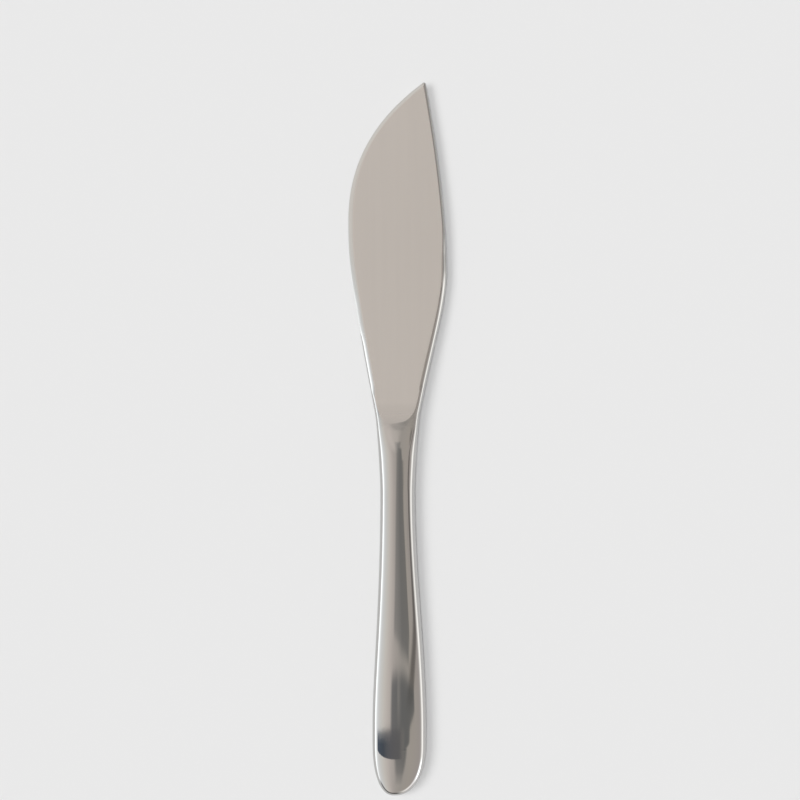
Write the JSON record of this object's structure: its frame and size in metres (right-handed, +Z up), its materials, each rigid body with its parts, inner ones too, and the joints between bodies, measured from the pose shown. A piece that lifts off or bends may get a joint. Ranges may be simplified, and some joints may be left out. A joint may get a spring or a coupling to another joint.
{
  "type": "dessert knife",
  "caption": "Dessert knife for the table: broad matte blade with a sweeping edge and a pointed tip, slim neck, and a polished oval hollow handle that widens to a rounded butt.",
  "frame": {"origin": "bottom centre of the bounding box: on the table, under the middle of the knife", "axes": "+Y from the butt to the tip, +X from the cutting edge to the spine, +Z up from the table with the knife lying flat"},
  "size_m": [0.0284, 0.205, 0.0072],
  "materials": {
    "blade_steel": "hardened stainless steel, ground flats with a fine matte finish, polished bolster and spine",
    "handle_steel": "polished stainless steel sheet",
    "braze": "pale silver braze, ground and polished flush with the handle",
    "cement": "cast handle cement, matte"
  },
  "bodies": {
    "root": {"blade": "blade_steel", "handle_shell_upper": "handle_steel", "handle_shell_lower": "handle_steel", "braze_ring": "braze", "tang_cement": "cement"}
  },
  "joints": []
}
